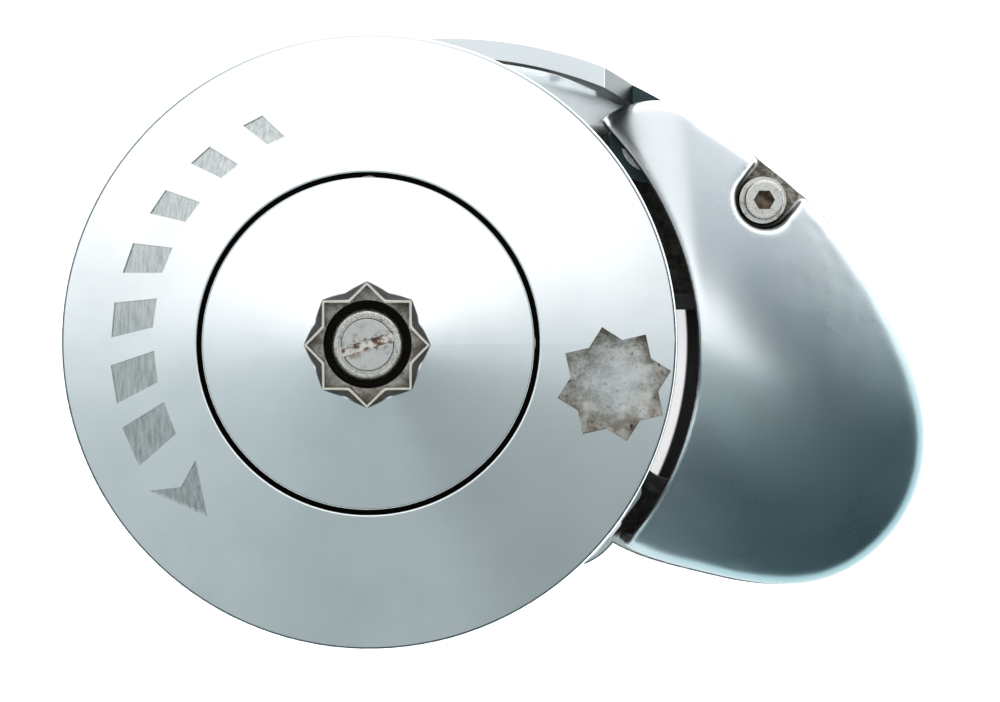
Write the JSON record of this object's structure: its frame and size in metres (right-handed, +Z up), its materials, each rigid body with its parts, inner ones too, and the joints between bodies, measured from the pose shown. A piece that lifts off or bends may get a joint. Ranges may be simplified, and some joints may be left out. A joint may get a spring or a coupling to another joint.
{
  "type": "vertical anchor windlass",
  "caption": "Vertical-axis anchor windlass for rope and chain: polished domed drum cap over a chainwheel, star handle sockets, hinged pressure arm and a screwed chain-pipe hood.",
  "frame": {"origin": "on the main shaft's axis in the plane of the deck, at the mouth of the drive bore", "axes": "+Z up along the main shaft; +X from the shaft towards the chain pipe and hood"},
  "size_m": [0.1875, 0.13, 0.105],
  "materials": {
    "polished_stainless": "mirror-polished stainless steel",
    "chrome_bronze": "chromed casting, worn in the grooves",
    "plain_steel": "machined stainless, lightly stained",
    "bearing_bronze": "machined bronze",
    "gasket_rubber": "moulded rubber",
    "liner_plastic": "moulded acetal"
  },
  "bodies": {
    "base": {"base_gasket": "gasket_rubber", "base_plate": "polished_stainless", "chainpipe_liner": "liner_plastic", "lower_shaft_bush": "bearing_bronze", "upper_shaft_bush": "bearing_bronze", "shaft_seal": "gasket_rubber", "lower_thrust_washer": "bearing_bronze", "chain_stripper": "polished_stainless", "stripper_screws": "plain_steel", "arm_pivot_pin": "plain_steel", "arm_circlip": "plain_steel", "arm_spring": "plain_steel", "pawl_pin": "plain_steel", "pawl_circlip": "plain_steel", "chainpipe_hood": "polished_stainless", "hood_washer": "plain_steel", "hood_screw": "plain_steel", "hood_dowels": "plain_steel"},
    "shaft": {"main_shaft": "plain_steel", "shaft_circlip": "plain_steel", "lower_clutch_cone": "bearing_bronze", "lower_cone_key": "plain_steel", "clutch_spring": "plain_steel", "upper_cone_key": "plain_steel", "retaining_collar": "plain_steel", "shaft_end_screw": "plain_steel"},
    "upper_cone": {"upper_clutch_cone": "bearing_bronze", "clutch_thrust_washer": "bearing_bronze"},
    "clutch_nut": {"clutch_nut": "polished_stainless"},
    "wheel": {"chainwheel": "chrome_bronze", "drum_cap": "polished_stainless", "cap_screws": "plain_steel", "cap_dowels": "plain_steel"},
    "pressure_arm": {"pressure_arm": "polished_stainless", "arm_bush": "bearing_bronze"},
    "ratchet_pawl": {"ratchet_pawl": "plain_steel"}
  },
  "joints": [
    {"name": "shaft_turn", "type": "hinge", "parent": "base", "child": "shaft", "pos_m": [0, 0, 0.02], "axis": [0, 0, 1], "continuous": true},
    {"name": "wheel_turn", "type": "hinge", "parent": "shaft", "child": "wheel", "pos_m": [0, 0, 0.05], "axis": [0, 0, 1], "continuous": true},
    {"name": "clutch_lift", "type": "slide", "parent": "shaft", "child": "upper_cone", "axis": [0, 0, 1], "range_m": [0, 0.0015], "stiffness_N_per_m": 400, "springref_m": 0.0145, "deforming": ["clutch_spring"]},
    {"name": "clutch_nut_turn", "type": "hinge", "parent": "upper_cone", "child": "clutch_nut", "pos_m": [0, 0, 0.09], "axis": [0, 0, 1], "range_deg": [0, 270]},
    {"name": "arm_swing", "type": "hinge", "parent": "base", "child": "pressure_arm", "pos_m": [0.061, 0.043, 0.027], "axis": [0, 0, -1], "range_deg": [0, 25], "stiffness_Nm_per_rad": 0.3, "springref_deg": -17.19},
    {"name": "pawl_swing", "type": "hinge", "parent": "base", "child": "ratchet_pawl", "pos_m": [-0.04956, -0.0347, 0.033], "axis": [0, 0, -1], "range_deg": [0, 12.5]}
  ],
  "couplings": [
    {"joint": "clutch_lift", "follows": "clutch_nut_turn", "m_per_rad": 0.00031831}
  ]
}
